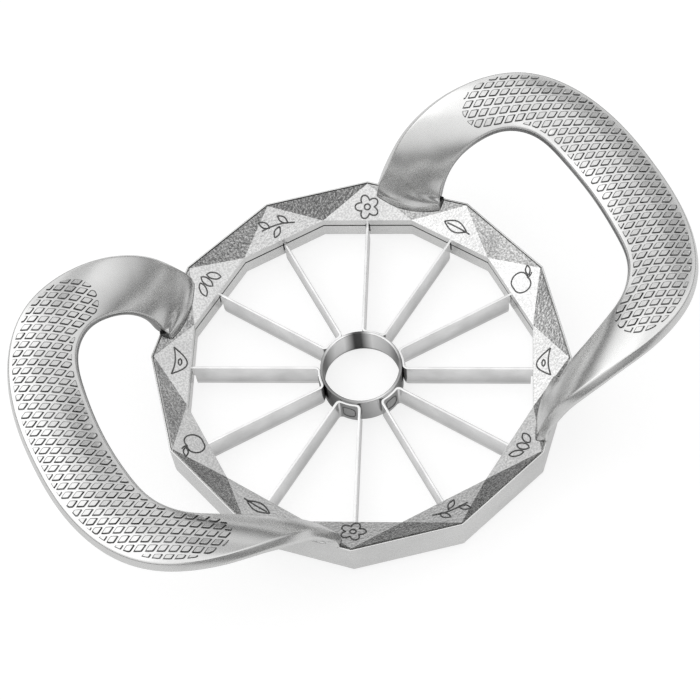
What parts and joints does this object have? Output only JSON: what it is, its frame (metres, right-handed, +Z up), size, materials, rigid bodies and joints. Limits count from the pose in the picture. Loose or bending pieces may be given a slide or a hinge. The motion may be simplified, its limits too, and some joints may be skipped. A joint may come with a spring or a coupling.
{
  "type": "apple slicer",
  "caption": "Push-down apple slicer and corer: a faceted cast ring with radial steel blades, a round corer and raised twisted handles.",
  "frame": {"origin": "on the ring's axis, in the plane of the blades' cutting edges, which is the plane it rests on", "axes": "+Z up, +X from the ring's axis towards the right handle"},
  "size_m": [0.1982, 0.124, 0.0482],
  "materials": {
    "cast_zinc": "satin polished",
    "crown_zinc": "blasted",
    "blade_steel": "satin",
    "corer_steel": "polished"
  },
  "bodies": {
    "root": {"body_casting": "cast_zinc", "crown": "crown_zinc", "core_ring": "corer_steel", "blade_pair_1": "blade_steel", "blade_pair_2": "blade_steel", "blade_pair_3": "blade_steel", "blade_pair_4": "blade_steel", "blade_pair_5": "blade_steel", "blade_pair_6": "blade_steel"}
  },
  "joints": []
}
